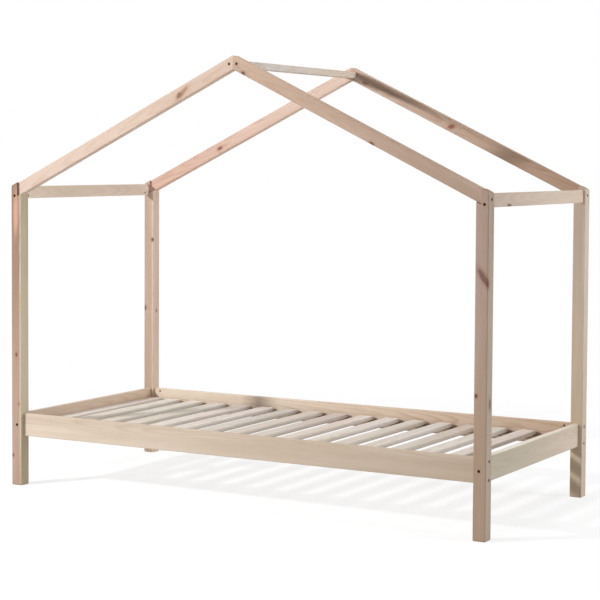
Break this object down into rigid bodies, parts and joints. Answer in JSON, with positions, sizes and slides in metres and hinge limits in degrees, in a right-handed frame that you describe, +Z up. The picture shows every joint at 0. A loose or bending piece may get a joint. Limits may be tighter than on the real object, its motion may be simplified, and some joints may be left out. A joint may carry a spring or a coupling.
{
  "type": "house frame bed",
  "caption": "Free-standing wooden child's bed: square corner posts carry a house-shaped roof frame over a slatted base between side rails and end boards.",
  "frame": {"origin": "on the floor, under the middle of the bed", "axes": "+X along the bed towards its right end, +Y across it towards its back gable, +Z up; the gables stand over the long sides"},
  "size_m": [2.11, 1.01, 1.7336],
  "materials": {
    "pine": "planed and sanded pine, left unfinished, with small knots",
    "dark_steel": "black finished socket bolts",
    "zinc_steel": "zinc plated",
    "beech": "plain beech dowel"
  },
  "bodies": {
    "root": {"post_front_left": "pine", "post_front_right": "pine", "post_back_left": "pine", "post_back_right": "pine", "rafter_front_left": "pine", "rafter_front_right": "pine", "rafter_back_left": "pine", "rafter_back_right": "pine", "ridge_bar": "pine", "eave_bar_left": "pine", "eave_bar_right": "pine", "side_rail_front": "pine", "side_rail_back": "pine", "end_board_left": "pine", "end_board_right": "pine", "slat_ledge_front": "pine", "slat_ledge_back": "pine", "slat_01": "pine", "slat_02": "pine", "slat_03": "pine", "slat_04": "pine", "slat_05": "pine", "slat_06": "pine", "slat_07": "pine", "slat_08": "pine", "slat_09": "pine", "slat_10": "pine", "slat_11": "pine", "slat_12": "pine", "slat_13": "pine", "slat_14": "pine", "slat_15": "pine", "slat_16": "pine", "slat_17": "pine", "rail_bolts": "dark_steel", "end_board_bolts": "dark_steel", "eave_bolts": "dark_steel", "rafter_bolts": "dark_steel", "ridge_bolts": "dark_steel", "rail_nuts": "zinc_steel", "end_board_nuts": "zinc_steel", "eave_nuts": "zinc_steel", "ridge_nuts": "zinc_steel", "rafter_inserts": "zinc_steel", "end_board_dowels": "beech", "eave_dowels": "beech"}
  },
  "joints": []
}
